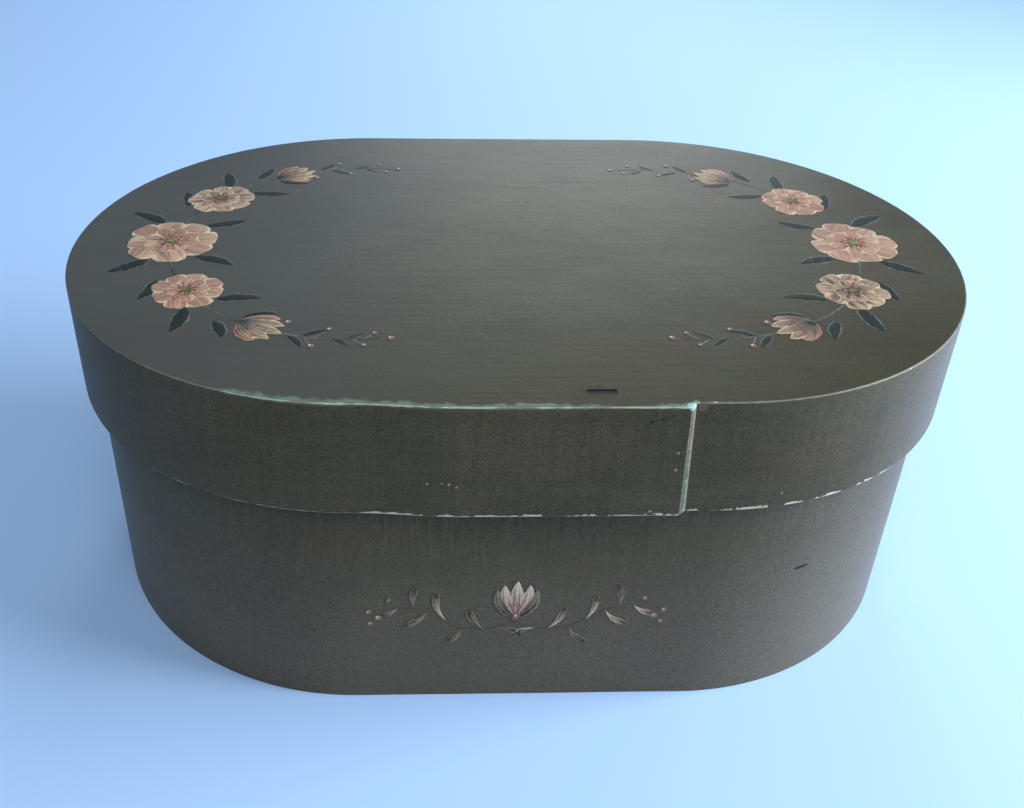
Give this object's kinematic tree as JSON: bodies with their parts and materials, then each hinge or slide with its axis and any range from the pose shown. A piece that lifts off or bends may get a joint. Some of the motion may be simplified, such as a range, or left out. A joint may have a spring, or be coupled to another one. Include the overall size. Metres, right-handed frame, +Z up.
{
  "type": "lidded oval box",
  "caption": "Oval box of bent wood with straight sides, half-round ends and a lift-off lid, painted dark with flower sprays.",
  "frame": {"origin": "centre of the underside of the whole box, on the surface that it stands on", "axes": "+X along the box's length, -Y towards the front with the lid's lap, +Z up"},
  "size_m": [0.3, 0.196, 0.121],
  "materials": {
    "body_paint": "satin",
    "lid_paint": "satin",
    "lid_top_paint": "satin",
    "base_wood": "matte",
    "pin_wood": "matte"
  },
  "bodies": {
    "body": {"body_band": "body_paint", "base_board": "base_wood", "base_board_pins": "pin_wood"},
    "lid": {"lid_band": "lid_paint", "lid_board": "lid_top_paint", "lid_board_pins": "pin_wood"}
  },
  "joints": [
    {"name": "lid_lift", "type": "slide", "parent": "body", "child": "lid", "axis": [0, 0, 1], "range_m": [0, 0.16]}
  ]
}
